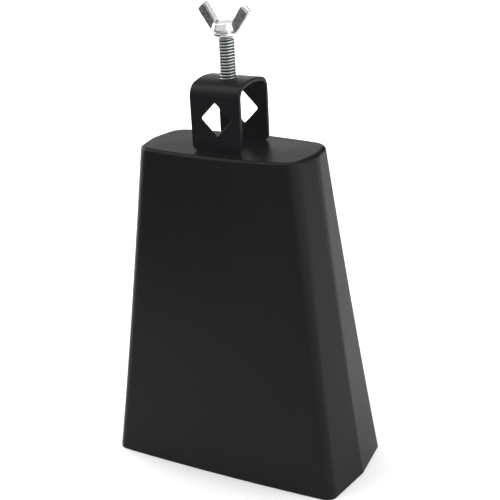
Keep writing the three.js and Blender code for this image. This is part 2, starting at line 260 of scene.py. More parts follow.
def plated_metal(name, base, dark, rough, cast=1.0, streak=0.0, patch=60.0, root=None):
    """Zinc plated metal: bright, slightly uneven, with fine pits. root paints shade and old oil into the grooves of a
    thread.
    """
    mat = bpy.data.materials.new(name)
    nt, bsdf, coord, noise, ramp, span, maths, mix, bump = node_tools(mat)
    cloud = noise(patch * 4, 4.0, 0.6)
    pits = noise(2100, 3.0, 0.6)
    grain = noise(5200, 2.0, 0.6)
    colour = mix(span(cloud, 0.0, 0.75, 0.42, 0.66), base, dark)
    colour = mix(span(pits, 0.0, 0.4 * cast, 0.60, 0.74), colour, tuple(0.6 * c for c in dark))
    if root:
        # painted shade and old oil darken the grooves, by distance from the screw's axis
        r0, r1, oil_and_shade = root
        sep = nt.nodes.new("ShaderNodeSeparateXYZ")
        nt.links.new(coord.outputs["Object"], sep.inputs[0])
        r = maths("SQRT", maths("ADD", maths("MULTIPLY", sep.outputs[0], sep.outputs[0]),
                                maths("MULTIPLY", sep.outputs[1], sep.outputs[1])), 0)
        r = maths("ADD", r, maths("MULTIPLY", maths("SUBTRACT", noise(900, 2), 0.5), 0.0002))
        colour = mix(span(r, 0.0, 1.0, r0 * MM, r1 * MM), oil_and_shade, colour)
    nt.links.new(colour, bsdf.inputs["Base Color"])
    roughness = maths("ADD", span(cloud, rough - 0.03, rough + 0.06), span(pits, -0.02, 0.04))
    nt.links.new(roughness, bsdf.inputs["Roughness"])
    bsdf.inputs["Metallic"].default_value = 1.0
    height = noise(750, 3.0, 0.55)
    n1 = bump(height, 0.30 * cast, 0.0003)
    n2 = bump(grain, 0.16 * cast, 0.00008, n1)
    if streak:
        stretch = nt.nodes.new("ShaderNodeMapping")
        stretch.inputs["Scale"].default_value = (1, 1, 30)
        nt.links.new(coord.outputs["Object"], stretch.inputs[0])
        n2 = bump(noise(900, 2.0, 0.5, stretch.outputs[0]), streak, 0.00006, n2)
    nt.links.new(n2, bsdf.inputs["Normal"])
    return mat


body_paint = powder_coat("body_paint_satin", (0.0026, 0.0026, 0.0028), 0.36, 0.085)
bracket_paint = powder_coat("bracket_paint_satin", (0.0027, 0.0027, 0.0034), 0.33, 0.10, 0.9,
                            worn_ring=(4.5, 5.3, STRIP_TOP))
weld_paint = powder_coat("weld_paint_satin", (0.0032, 0.0032, 0.0034), 0.42, 0.12, 1.6)
nut_paint = powder_coat("nut_paint_satin", (0.0030, 0.0030, 0.0034), 0.38, 0.11, 1.0)
# root darkens the thread's grooves with painted shade and old oil
screw_zinc = plated_metal("screw_zinc_plate", (0.46, 0.495, 0.485), (0.33, 0.365, 0.36), 0.33, 0.35,
                          root=(3.40, 3.85, (0.045, 0.056, 0.056)))
wing_zinc = plated_metal("wing_zinc_plate", (0.72, 0.72, 0.715), (0.60, 0.60, 0.60), 0.25, 0.28)


# ---------------------------------------------------------------- body shells
def quarter(w, d, bulge, bow, r_corner, r_crease):
    """Plan outline from the right crease (y = 0) round the front corner to x = 0."""
    n_crease, n_facet, n_corner, n_front = 8, 12, 16, 30
    p = np.array([w / 2 + bulge, 0.0])
    v = np.array([w / 2, -d / 2])
    b = unit(v - p)
    room = np.linalg.norm(v - p) * 0.48
    half = math.acos(-b[0])                     # half the inner angle at the crease
    r = min(r_crease, room * math.tan(half))
    cx = p[0] - r / math.sin(half)
    pts = []
    sweep = math.pi / 2 - half
    for k in range(n_crease + 1):
        a = -sweep * k / n_crease
        pts.append((cx + r * math.cos(a), r * math.sin(a)))
    s = np.array(pts[-1])
    a_dir, b_dir = np.array([-1.0, 0.0]), unit(p - v)
    half2 = math.acos(float(a_dir @ b_dir)) / 2
    r2 = min(r_corner, room * math.tan(half2))
    cut = r2 / math.tan(half2)
    c2 = v + unit(a_dir + b_dir) * (r2 / math.sin(half2))
    e = v + b_dir * cut
    for k in range(1, n_facet):
        pts.append(tuple(lerp(s, e, k / n_facet)))
    a0 = math.atan2(e[1] - c2[1], e[0] - c2[0])
    a1 = -math.pi / 2
    for k in range(n_corner + 1):
        a = lerp(a0, a1, k / n_corner)
        pts.append((c2[0] + r2 * math.cos(a), c2[1] + r2 * math.sin(a)))
    x0 = pts[-1][0]
    for k in range(1, n_front + 1):
        pts.append((x0 * (1 - k / n_front), -d / 2))
    pts = np.array(pts)
    u = np.maximum(0, 1 - (2 * pts[:, 0] / w) ** 2)
    pts[:, 1] += np.clip(pts[:, 1] / (d / 2), -1, 1) * bow * u
    return pts


def half_ring(z, inset):
    """Front half of the plan outline, from the left crease to the right crease."""
    t = z / BELL_H
    f = FLARE * 4 * t * (1 - t)
    r = max(lerp(MOUTH_CORNER_R, CROWN_CORNER_R, t) - inset, 1.2)
    q = quarter(lerp(MOUTH_W, CROWN_W, t) - 2 * inset - 2 * f, lerp(MOUTH_D, CROWN_D, t) - 2 * inset,
                lerp(MOUTH_BULGE, CROWN_BULGE, t), lerp(MOUTH_BOW, CROWN_BOW, t),
                r, lerp(CREASE_R_MOUTH, CREASE_R_CROWN, max(t, 0)))
    left = q * np.array([-1.0, 1.0])
    return np.vstack([left, q[-2::-1]])


def shell_rows():
    """Rows of the section: outer from the rim up to the crown line, and inner the same way."""
    outer, inner = [], []
    mid = SHEET / 2
    steps = 6
    outer.append((0.0, mid))
    inner.append((0.0, mid))
    for k in range(steps + 1):
        a = math.pi / 2 * k / steps
        outer.append((RIM_R * (1 - math.cos(a)), RIM_R * (1 - math.sin(a))))
        inner.append((RIM_R * (1 - math.cos(a)), SHEET - RIM_R * (1 - math.sin(a))))
    walls = list(np.linspace(2.5, BELL_H - SHOULDER_R - 2.0, 44))
    for z in walls:
        outer.append((z, 0.0))
        inner.append((z, SHEET))
    bend = 10
    for k in range(bend + 1):
        a = math.pi / 2 * k / bend
        outer.append((BELL_H - SHOULDER_R * (1 - math.sin(a)), SHOULDER_R * (1 - math.cos(a))))
        ri = SHOULDER_R - SHEET
        inner.append((BELL_H - SHEET - ri * (1 - math.sin(a)), SHEET + ri * (1 - math.cos(a))))
    return outer, inner


def shell_grid(rows, flat_steps, outer):
    grid = []
    for z, inset in rows:
        ring = half_ring(z, inset)
        grid.append(np.column_stack([ring, np.full(len(ring), z)]))
    last = grid[-1]
    z0 = last[0, 2]
    reach = 25.0
    for k in range(1, flat_steps + 1):
        s = k / flat_steps
        centre = np.column_stack([np.clip(last[:, 0] * 0.62, -reach, reach), np.zeros(len(last)),
                                  np.full(len(last), z0)])
        row = last * (1 - s) + centre * s
        row[:, 2] = z0 + CROWN_DOME * float(smooth01(s))
        grid.append(row)
    return np.array(grid)


def grid_normals(g, flip):
    """Normals of a half grid whose mirror image in y carries on past both end columns."""
    mirror = g * np.array([1.0, -1.0, 1.0])
    du = np.empty_like(g)
    du[:, 1:-1] = g[:, 2:] - g[:, :-2]
    du[:, 0] = g[:, 1] - mirror[:, 1]
    du[:, -1] = mirror[:, -2] - g[:, -2]
    dv = np.empty_like(g)
    dv[1:-1] = g[2:] - g[:-2]
    dv[0] = g[1] - g[0]
    dv[-1] = g[-1] - g[-2]
    n = np.cross(du, dv)
    n = unit(n)
    n[-1] = (0, 0, 1)
    return n * (-1 if flip else 1)


def half_shell(name, side):
    """One pressed half shell, side -1 for the front and 1 for the rear, with its real sheet thickness."""
    rows_o, rows_i = shell_rows()
    flat = 14
    go, gi = shell_grid(rows_o, flat, True), shell_grid(rows_i, flat, False)
    no, ni = grid_normals(go, False), grid_normals(gi, True)
    # the rim's lowest line faces straight down on both skins
    for n in (no, ni):
        n[0] = (0, 0, -1)
        n[1] = (0, 0, -1)
    rows, cols = go.shape[:2]
    verts = np.vstack([go.reshape(-1, 3), gi.reshape(-1, 3)])
    norms = np.vstack([no.reshape(-1, 3), ni.reshape(-1, 3)])
    off = rows * cols
    idx = lambda r, c, inner: (off if inner and r > 0 else 0) + r * cols + c
    faces, kinds = [], []
    for inner in (False, True):
        for r in range(rows - 1):
            for c in range(cols - 1):
                f = (idx(r, c, inner), idx(r, c + 1, inner), idx(r + 1, c + 1, inner), idx(r + 1, c, inner))
                faces.append(f[::-1] if inner else f)
                kinds.append(None)
    for c, sgn in ((0, 1), (cols - 1, -1)):
        for r in range(rows - 1):
            f = [idx(r, c, False), idx(r + 1, c, False), idx(r + 1, c, True), idx(r, c, True)]
            if r == 0:
                f = f[:3]
            faces.append(tuple(f if sgn > 0 else f[::-1]))
            kinds.append("seam")
    r = rows - 1
    for c in range(cols - 1):
        faces.append((idx(r, c, False), idx(r, c + 1, False), idx(r, c + 1, True), idx(r, c, True)))
        kinds.append("seam")
    if side > 0:
        verts = verts * np.array([1.0, -1.0, 1.0])
        norms = norms * np.array([1.0, -1.0, 1.0])
        faces = [f[::-1] for f in faces]
    # drop points that the joined rim row leaves unused
    used = sorted({i for f in faces for i in f})
    remap = {old: new for new, old in enumerate(used)}
    verts = verts[used]
    norms = norms[used]
    faces = [tuple(remap[i] for i in f) for f in faces]
    seam_n = (0.0, -float(side), 0.0)
    loops = []
    for f, kind in zip(faces, kinds):
        for i in f:
            loops.append(seam_n if kind else norms[i])
    ob = new_mesh(name, verts, faces, loops)
    ob.data.materials.append(body_paint)
    return ob


front = half_shell("front_shell_pressed", -1)
rear = half_shell("rear_shell_pressed", 1)
for ob, node in ((front, "front_shell"), (rear, "rear_shell")):
    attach(ob, "bell")
    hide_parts(node)


# ----------------------------------------------------------------- weld beads
def swept(name, centre, out, across, half_w, height, ripple, phase=0.0, closed=False):
    """A rippled weld bead along a path. out points out of the metal and across along the surface."""
    n, m = len(centre), 14
    step = np.linalg.norm(np.diff(centre, axis=0), axis=1)
    run = np.concatenate([[0], np.cumsum(step)])
    verts, faces = [], []
    rng = np.random.default_rng(7)
    wander = np.convolve(rng.normal(0, 1, n + 40), np.ones(41) / 41, "valid")[:n]
    for i in range(n):
        end = 1.0 if closed else min(1.0, math.sqrt(max(0.02, min(run[i], run[-1] - run[i]) / 3.0)))
        w = half_w * (1 + 0.25 * wander[i]) * (0.5 + 0.5 * end)
        for k in range(m + 1):
            a = math.pi * k / m
            side = math.cos(a)
            crest = (run[i] + 1.1 * (1 - side * side) + phase) / ripple
            lift = 1 + 0.13 * (1 - abs((crest % 1.0) * 2 - 1) ** 1.6)
            p = centre[i] + across[i] * (side * w) + out[i] * (height * end * lift * math.sin(a) ** 0.8 - 0.12)
            verts.append(p)
        verts.append(centre[i] - out[i] * 0.5)
    k_all = m + 2
    last = n if closed else n - 1
    for i in range(last):
        j = (i + 1) % n
        for k in range(k_all):
            k2 = (k + 1) % k_all
            faces.append((i * k_all + k, i * k_all + k2, j * k_all + k2, j * k_all + k))
    if not closed:
        faces.append(tuple(range(k_all))[::-1])
        faces.append(tuple((n - 1) * k_all + k for k in range(k_all)))
    ob = new_mesh(name, verts, faces)
    bm = bmesh.new()
    bm.from_mesh(ob.data)
    bmesh.ops.recalc_face_normals(bm, faces=bm.faces)
    bm.to_mesh(ob.data)
    bm.free()
    ob.data.materials.append(weld_paint)
    return ob


def wall_x(z):
    return half_ring(z, SHEET)[-1][0]


for side, node in ((-1, "left_seam_weld"), (1, "right_seam_weld")):
    zs = np.arange(3.6, 160.4, 0.35)
    xs = np.array([wall_x(z) for z in zs])
    centre = np.column_stack([side * xs, np.zeros(len(zs)), zs])
    out = np.tile(np.array([-side * 1.0, 0, 0]), (len(zs), 1))
    across = np.tile(np.array([0, 1.0, 0]), (len(zs), 1))
    ob = swept(node + "_bead", centre, out, across, 2.0, 1.3, 1.7, 0.4 * side)
    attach(ob, "bell")
    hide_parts(node)

xs = np.arange(-39.5, 39.6, 0.35)
centre = np.column_stack([xs, np.zeros(len(xs)), np.full(len(xs), BELL_H - SHEET)])
ob = swept("crown_seam_weld_bead", centre, np.tile([0, 0, -1.0], (len(xs), 1)),
           np.tile([0, 1.0, 0], (len(xs), 1)), 2.0, 1.25, 1.7, 0.9)
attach(ob, "bell")
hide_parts("crown_seam_weld")


def tab_fillet(name, y0):
    """Fillet weld that runs round a bracket tab under the crown."""
    hx, hy, r = TAB_W / 2, STRIP_T / 2, 0.5
    path, outs = [], []
    for cx, cy, a0 in ((hx - r, hy - r, 0), (-hx + r, hy - r, 90), (-hx + r, -hy + r, 180), (hx - r, -hy + r, 270)):
        for k in range(9):
            a = math.radians(a0 + 90 * k / 8)
            path.append((cx + r * math.cos(a), cy + r * math.sin(a)))
            outs.append((math.cos(a), math.sin(a)))
    # even steps along the path
    path, outs = np.array(path), np.array(outs)
    closed_p, closed_o = np.vstack([path, path[:1]]), np.vstack([outs, outs[:1]])
    run = np.concatenate([[0], np.cumsum(np.linalg.norm(np.diff(closed_p, axis=0), axis=1))])
    t = np.linspace(0, run[-1], 150, endpoint=False)
    px, py = np.interp(t, run, closed_p[:, 0]), np.interp(t, run, closed_p[:, 1])
    ox, oy = np.interp(t, run, closed_o[:, 0]), np.interp(t, run, closed_o[:, 1])
    o = unit(np.column_stack([ox, oy]))
    m = 10
    verts, faces = [], []
    z0 = BELL_H - SHEET
    for i in range(len(t)):
        ph = t[i] / 1.55
        for k in range(m + 1):
            a = math.pi / 2 * k / m
            lift = 1 + 0.10 * (1 - abs(((ph + 0.35 * math.sin(2 * a)) % 1.0) * 2 - 1) ** 1.6)
            leg = 1.95 * lift * (math.cos(a) ** 1.35 + math.sin(a) ** 1.35) ** (-1 / 1.35)
            d, h = leg * math.cos(a), leg * math.sin(a)
            verts.append((px[i] + o[i, 0] * d, y0 + py[i] + o[i, 1] * d, z0 - h * 0.92 + 0.0))
        verts.append((px[i] - o[i, 0] * 0.25, y0 + py[i] - o[i, 1] * 0.25, z0 - 1.75))
        verts.append((px[i] - o[i, 0] * 0.25, y0 + py[i] - o[i, 1] * 0.25, z0 + 0.3))
        verts.append((px[i] + o[i, 0] * 1.9, y0 + py[i] + o[i, 1] * 1.9, z0 + 0.3))
    k_all = m + 4
    n = len(t)
    for i in range(n):
        j = (i + 1) % n
        for k in range(k_all):
            k2 = (k + 1) % k_all
            faces.append((i * k_all + k, i * k_all + k2, j * k_all + k2, j * k_all + k))
    ob = new_mesh(name, verts, faces)
    bm = bmesh.new()
    bm.from_mesh(ob.data)
    bmesh.ops.recalc_face_normals(bm, faces=bm.faces)
    bm.to_mesh(ob.data)
    bm.free()
    ob.data.materials.append(weld_paint)
    return ob


for y0, node in ((-LEG_Y, "front_tab_weld"), (LEG_Y, "rear_tab_weld")):
    ob = tab_fillet(node + "_fillet", y0)
    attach(ob, "bell")
    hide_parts(node)


# ------------------------------------------------------------- clamp bracket
def arc(cx, cy, r, a0, a1, n):
    return [(cx + r * math.cos(math.radians(lerp(a0, a1, k / n))), cy + r * math.sin(math.radians(lerp(a0, a1, k / n))))
            for k in range(n + 1)]


def bracket_piece():
    r_mid, c_mid = STRIP_BEND_R - STRIP_T / 2, STRIP_CROWN_R - STRIP_T / 2
    bend_y, crown_z = BRACKET_D / 2 - STRIP_BEND_R, BRACKET_H - STRIP_CROWN_R
    leg_top = crown_z + math.sqrt((STRIP_CROWN_R - STRIP_BEND_R) ** 2 - bend_y ** 2)
    meet = math.atan2(bend_y, leg_top - crown_z)          # lean where the crowned top meets a bend
    top_len = c_mid * meet                                # half length of the crowned top
    arc_len = (math.pi / 2 - meet) * r_mid
    at_z = lambda z: top_len + arc_len + (leg_top - z)    # distance from the middle to height z on a leg
    w, tw, c = STRIP_W / 2, TAB_W / 2, LEG_CORNER_R

    # outline of the flat strip, x across and s along, anticlockwise
    s0, s1 = at_z(0), at_z(-TAB_DROP)
    right_end = [(w, s0 - c)] + arc(w - c, s0 - c, c, 0, 90, 12)[1:] + [(tw, s0), (tw, s1 - 0.6)] + \
        arc(tw - 0.6, s1 - 0.6, 0.6, 0, 90, 5)[1:]
    top_half = right_end + [(-x, s) for x, s in right_end[::-1]]
    outline = top_half + [(-x, -s) for x, s in top_half]
    # corner rounding of the square rod hole
    r = 1.25
    h = DIAMOND_HALF
    holes = []
    for sgn in (1, -1):
        sc = sgn * at_z(DIAMOND_Z)
        pts = []
        for k in range(4):
            a = 90 * k
            d = h - r * math.sqrt(2)
            cx, cy = d * math.cos(math.radians(a)), sc + d * math.sin(math.radians(a))
            pts += arc(cx, cy, r, a - 45, a + 45, 7)
        holes.append(pts[::-1])                           # clockwise
    holes.append(arc(0, 0, BOLT_HOLE_R, 360, 0, 64)[:-1])

    def clean(poly):
        out = []
        for p in poly:
            if not out or math.dist(p, out[-1]) > 1e-4:
                out.append(p)
        if math.dist(out[0], out[-1]) < 1e-4:
            out.pop()
        return np.array(out)

    def normals_of(poly):
        """Normals that point out of the material: right of the walking direction."""
        a = unit(poly - np.roll(poly, 1, axis=0))
        b = unit(np.roll(poly, -1, axis=0) - poly)
        na, nb = np.column_stack([a[:, 1], -a[:, 0]]), np.column_stack([b[:, 1], -b[:, 0]])
        m = unit(na + nb)
        scale = 1 / np.maximum(0.5, (m * na).sum(1))
        return m, scale

    t2, e = STRIP_T / 2, STRIP_EDGE
    bm = bmesh.new()
    steps = 5
    levels = []                                            # (inset, n) from the upper cap to the lower cap
    for k in range(steps + 1):
        a = math.pi / 2 * k / steps
        levels.append((e * (1 - math.sin(a)), t2 - e * (1 - math.cos(a))))
    levels += [(i, -n) for i, n in levels[::-1]]
    rings = {}
    for pi, poly in enumerate([outline] + holes):
        poly = clean(poly)
        m, sc = normals_of(poly)
        for li, (inset, n) in enumerate(levels):
            pts = poly - m * (inset * sc)[:, None]
            rings[pi, li] = [bm.verts.new((x, s, n)) for x, s in pts]
        for li in range(len(levels) - 1):
            A, B = rings[pi, li], rings[pi, li + 1]
            k = len(A)
            for i in range(k):
                j = (i + 1) % k
                bm.faces.new((A[j], A[i], B[i], B[j]))
    def inside(p, poly):
        x, y = p
        hit = False
        for i in range(len(poly)):
            x0, y0 = poly[i - 1]
            x1, y1 = poly[i]
            if (y0 > y) != (y1 > y) and x < (x1 - x0) * (y - y0) / (y1 - y0) + x0:
                hit = not hit
        return hit

    for li, flip in ((0, False), (len(levels) - 1, True)):
        flat_verts, edges = [], []
        for pi in range(4):
            base, k = len(flat_verts), len(rings[pi, li])
            flat_verts += rings[pi, li]
            edges += [(base + i, base + (i + 1) % k) for i in range(k)]
        polys = [[(v.co.x, v.co.y) for v in rings[pi, li]] for pi in range(4)]
        pts, _, tris, _, _, _ = delaunay_2d_cdt([Vector(v.co.xy) for v in flat_verts], edges, [], 0, 1e-7)
        assert len(pts) == len(flat_verts)
        for tri in tris:
            centre = sum((pts[i] for i in tri), Vector((0, 0))) / 3
            if not inside(centre, polys[0]) or any(inside(centre, q) for q in polys[1:]):
                continue
            vs = [flat_verts[i] for i in tri]
            up = (vs[1].co - vs[0].co).cross(vs[2].co - vs[0].co).z > 0
            bm.faces.new(vs if up != flip else vs[::-1])
    bm.normal_update()
    cuts = []
    for sgn in (1, -1):
        for k in range(0, 25):
            cuts.append(sgn * (top_len + arc_len * k / 24))
        for k in range(1, 12):
            cuts.append(sgn * top_len * k / 12)
    for s in cuts:
        geom = bm.verts[:] + bm.edges[:] + bm.faces[:]
        bmesh.ops.bisect_plane(bm, geom=geom, dist=1e-6, plane_co=(0, s, 0), plane_no=(0, 1, 0))
    bm.normal_update()
    bm.verts.ensure_lookup_table()

    flat = np.array([v.co for v in bm.verts])
    nrm = np.zeros_like(flat)
    for v in bm.verts:
        if abs(abs(v.co.z) - t2) < 1e-5:
            nrm[v.index] = (0, 0, math.copysign(1, v.co.z))
        else:
            nrm[v.index] = v.normal
    faces = [tuple(v.index for v in f.verts) for f in bm.faces]
    print("strip open edges", sum(1 for e in bm.edges if not e.is_manifold), "faces", len(faces))
    bm.free()

    def bend(p, n):
        x, s, off = p
        side = 1.0 if s >= 0 else -1.0
        a = abs(s)
        if a <= top_len:
            phi = a / c_mid
            rr = c_mid + off
            y = side * rr * math.sin(phi)
            z = crown_z + rr * math.cos(phi)
        elif a <= top_len + arc_len:
            phi = meet + (a - top_len) / r_mid
            rr = r_mid + off
            y = side * (bend_y + rr * math.sin(phi))
            z = leg_top + rr * math.cos(phi)
        else:
            phi = math.pi / 2
            y = side * (BRACKET_D / 2 - t2 + off)
            z = leg_top - (a - top_len - arc_len)
        # along: direction of growing s, up: direction of growing off
        along = np.array([0, math.cos(phi), -side * math.sin(phi)])
        up = np.array([0, side * math.sin(phi), math.cos(phi)])
        return (x, y, BELL_H + z), np.array([1.0, 0, 0]) * n[0] + along * n[1] + up * n[2]

    verts, norms = [], []
    for p, n in zip(flat, nrm):
        v, q = bend(p, n)
        verts.append(v)
        norms.append(unit(q))
    loops = [norms[i] for f in faces for i in f]
    ob = new_mesh("clamp_bracket_strip", verts, faces, loops)
    ob.data.materials.append(bracket_paint)
    return ob


bracket = bracket_piece()
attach(bracket, "bell")
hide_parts("clamp_bracket")


# ------------------------------------------------------------- threaded parts
def thread_grid(z0, z1, radius_of, turns_at=96, samples=16):
    """Points of a screw thread between z0 and z1. radius_of(phase, z) gives the flank's radius."""
    n_pitch = int(math.ceil((z1 - z0) / PITCH)) + 2
    cols = []
    for i in range(turns_at):
        th = 2 * math.pi * i / turns_at
        zs, rs = [], []
        for k in range(n_pitch * samples + 1):
            phase = k / samples
            z = z0 - PITCH + (th / (2 * math.pi)) * PITCH + phase * PITCH
            zc = min(max(z, z0), z1)
            # at the ends the flank is read where the thread is cut off
            rs.append(radius_of(((zc - z0) / PITCH - th / (2 * math.pi)) % 1.0, zc))
            zs.append(zc)
        cols.append((th, np.array(zs), np.array(rs)))
    return cols


def crest(phase):
    """Rolled thread form from 0 at the root to 1 at the crest."""
    x = abs(phase - 0.5) * 2          # 0 at the crest, 1 at the root
    v = 1 - x
    return float(np.clip((v - 0.12) / 0.56, 0, 1))


def soft_crest(phase):
    s = 0
    for d, w in ((-0.05, 0.25), (0, 0.5), (0.05, 0.25)):
        s += w * crest((phase + d) % 1.0)
    return s


def stud_piece():
    z0, z1 = DATUM_Z - THREAD_LEN, DATUM_Z + 2.6

    def radius_of(phase, z):
        f = soft_crest(phase)
        r = lerp(THREAD_ROOT_R, THREAD_R, f)
        tip = (z - z0)
        r = min(r, THREAD_ROOT_R - 0.15 + tip * 0.75)          # chamfered start
        out = DATUM_Z + 1.0 - z
        if out < 0.7:                                          # runs out under the collar
            r = min(r, lerp(THREAD_ROOT_R + 0.1, THREAD_R, np.clip(out / 0.7, 0, 1)))
        return r

    cols = thread_grid(z0, z1, radius_of)
    n, k = len(cols), len(cols[0][1])
    verts = []
    for th, zs, rs in cols:
        for z, r in zip(zs, rs):
            verts.append((r * math.cos(th), r * math.sin(th), z))
    faces = []
    per = 16
    for i in range(n):
        j = (i + 1) % n
        wrap = per if j == 0 else 0       # a full turn is one pitch up
        for q in range(k - 1):
            if q + 1 + wrap >= k + wrap:
                continue
            a, b = i * k + q, i * k + q + 1
            if wrap:
                # the last column meets the first one pitch further on
                if q + 1 + per >= k + 0 and q + per >= k:
                    continue
                qq, qq1 = min(q + per, k - 1), min(q + 1 + per, k - 1)
                faces.append((a, j * k + qq, j * k + qq1, b))
            else:
                faces.append((a, j * k + q, j * k + q + 1, b))
    base = len(verts)
    verts.append((0, 0, z0))
    verts.append((0, 0, z1))
    me_faces = faces
    for i in range(n):
        j = (i + 1) % n
        me_faces.append((i * k, base, j * k))
        me_faces.append((i * k + k - 1, j * k + k - 1, base + 1))
    ob = new_mesh("screw_stud_thread", verts, me_faces)
    bm = bmesh.new()
    bm.from_mesh(ob.data)
    bmesh.ops.remove_doubles(bm, verts=bm.verts, dist=1e-7)
    bmesh.ops.dissolve_degenerate(bm, dist=1e-7, edges=bm.edges)
    bmesh.ops.recalc_face_normals(bm, faces=bm.faces)
    for f in bm.faces:
        f.smooth = True
    bm.to_mesh(ob.data)
    open_edges = sum(1 for e in bm.edges if not e.is_manifold)
    print("stud open edges", open_edges, "faces", len(bm.faces))
    bm.free()
    ob.data.materials.append(screw_zinc)
    return ob


stud = stud_piece()
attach(stud, "wing")
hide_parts("screw_stud")


def nut_piece():
    """Round weld nut with chamfered edges, a narrower band round the top and a plain bore."""
    top = BELL_H + BRACKET_H - STRIP_T
    profile = rounded_profile(
        [(NUT_BORE_R + 0.35, top), (NUT_BORE_R - 0.05, top - 0.4), (NUT_BORE_R - 0.05, top - NUT_H + 0.5),
         (NUT_BORE_R + 0.4, top - NUT_H), (NUT_R - 0.5, top - NUT_H), (NUT_R, top - NUT_H + 0.5),
         (NUT_R, top - 1.2), (NUT_R - 0.25, top - 1.0), (NUT_R - 0.25, top + 0.03)],
        [0, 0.1, 0.1, 0.15, 0.25, 0.25, 0.1, 0.1, 0], 4)
    v, f = lathe(profile, 96)
    # the upper rim is filed to sit in the hollow of the crowned strip
    hollow = STRIP_CROWN_R - STRIP_T
    v = [(x, y, min(z, top + 0.03 - y * y / (2 * hollow))) for x, y, z in v]
    ob = new_mesh("clamp_nut_round", v, f)
    bm = bmesh.new()
    bm.from_mesh(ob.data)
    bmesh.ops.recalc_face_normals(bm, faces=bm.faces)
    bm.to_mesh(ob.data)
    bm.free()
    ob.data.materials.append(nut_paint)
    return ob


nut = nut_piece()
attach(nut, "bell")
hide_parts("clamp_nut")


# ----------------------------------------------------------------- wing head
def ear_loft():
    """One cast ear, lofted from the hub out to its tip: flat faces, soft edges and a fully rounded tip."""
    du, dv = np.array([0.6, 0.8]), np.array([0.8, -0.6])       # along the ear and across it, in (s, z)
    tip = 21.05
    across_lo = ([5.4, 6.8, 7.6, 8.5, 9.6, 11.0, tip], [-3.3, -2.7, -1.75, -1.05, -0.72, -0.66, -0.64])
    across_hi = ([5.4, 6.0, 7.2, 8.2, 9.3, 11.0, tip], [2.7, 3.1, 3.85, 4.22, 4.42, 4.6, 5.36])
    t2 = WING_T / 2
    us = list(np.arange(5.4, tip - 3.0, 0.3)) + list(np.linspace(tip - 3.0, tip - 0.9, 14)[:-1])
    us += [tip - 0.9 + 0.9 * math.sin(math.pi / 2 * k / 12) for k in range(13)]
    verts, faces = [], []
    corner = 6
    for u in us:
        d = max(tip - u, 0.0)
        lo, hi = np.interp(u, *across_lo), np.interp(u, *across_hi)
        r = 0.95
        if d < r:
            cut = r - math.sqrt(max(r * r - (r - d) ** 2, 0.0))
            lo, hi = lo + cut, hi - cut
        h = t2
        if d < 1.45:
            h = 0.12 + (t2 - 0.12) * math.sqrt(max(1 - (1 - d / 1.45) ** 2, 0.0))
        e = 0.42 + 0.55 * float(smooth01((3.4 - d) / 3.0))
        e = min(e, h * 0.98, (hi - lo) * 0.45)
        ring = []
        for cv, ch, a0 in ((hi - e, h - e, 0), (lo + e, h - e, 90), (lo + e, -h + e, 180), (hi - e, -h + e, 270)):
            for k in range(corner + 1):
                a = math.radians(a0 + 90 * k / corner)
                ring.append((cv + e * math.cos(a), ch + e * math.sin(a)))
        for v, y in ring:
            p = du * u + dv * v
            verts.append((p[0], y, p[1]))
    n = 4 * (corner + 1)
    rows = len(us)
    for i in range(rows - 1):
        for k in range(n):
            k2 = (k + 1) % n
            faces.append((i * n + k, i * n + k2, (i + 1) * n + k2, (i + 1) * n + k))
    faces.append(tuple(range(n))[::-1])
    faces.append(tuple((rows - 1) * n + k for k in range(n)))
    return verts, faces


def wing_piece():
    verts, faces = [], []

    def add(v, f, turn=0.0, flip=False):
        base = len(verts)
        c, s = math.cos(turn), math.sin(turn)
        for x, y, z in v:
            verts.append((x * c - y * s, x * s + y * c, z))
        for q in f:
            faces.append(tuple(base + i for i in (q[::-1] if flip else q)))

    pv, pf = ear_loft()
    add(pv, pf, 0.0)
    add(pv, pf, math.pi)
    hub = rounded_profile(
        [(0.0, 1.0), (4.45, 1.0), (5.95, 1.95), (6.25, 2.3), (6.25, 3.42), (5.35, 3.68), (5.35, 4.0), (6.6, 4.3),
         (6.6, 4.9), (6.2, 6.2), (5.75, 7.6), (5.3, 8.0), (0.0, 8.0)],
        [0, 0.25, 0.2, 0.2, 0.25, 0.06, 0.06, 0.25, 0.3, 0.6, 0.35, 0.35, 0], 4)
    steps = 96
    v, f = [], []
    prof = hub[1:-1]
    v2, f2 = lathe(prof, steps, closed=False)
    v, f = list(v2), list(f2)
    n = len(prof)
    b0 = len(v)
    v += [(0, 0, hub[0][1]), (0, 0, hub[-1][1])]
    for i in range(steps):
        j = (i + 1) % steps
        f.append((b0, j * n, i * n))
        f.append((b0 + 1, i * n + n - 1, j * n + n - 1))
    add(v, f)
    ob = new_mesh("wing_head_cast", verts, faces)
    ob.data.transform(Matrix.Translation((0, 0, DATUM_Z * MM)) @ Matrix.Rotation(WING_ANGLE, 4, "Z"))
    bm = bmesh.new()
    bm.from_mesh(ob.data)
    bmesh.ops.recalc_face_normals(bm, faces=bm.faces)
    bm.to_mesh(ob.data)
    bm.free()
    # one cast skin: fuse the plates and the hub, then soften the inner corners
    mod = ob.modifiers.new("fuse", "REMESH")
    mod.mode = "VOXEL"
    mod.voxel_size = 0.125 * MM
    mod.use_smooth_shade = True
    sm = ob.modifiers.new("soften", "SMOOTH")
    sm.factor = 0.5
    sm.iterations = 3
    dg = bpy.context.evaluated_depsgraph_get()
    done = bpy.data.meshes.new_from_object(ob.evaluated_get(dg))
    ob.modifiers.clear()
    ob.data = done
    ob.data.polygons.foreach_set("use_smooth", [True] * len(ob.data.polygons))
    print("wing faces", len(done.polygons))
    ob.data.materials.clear()
    ob.data.materials.append(wing_zinc)
    return ob


wing = wing_piece()
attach(wing, "wing")
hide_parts("wing_head")

# --------------------------------------------------------------------- stage
floor_mat = bpy.data.materials.new("floor_pale")
floor_mat.use_nodes = True
fb = floor_mat.node_tree.nodes["Principled BSDF"]
fb.inputs["Base Color"].default_value = (0.90, 0.90, 0.90, 1)
fb.inputs["Roughness"].default_value = 0.75
fb.inputs["Specular IOR Level"].default_value = 0.2
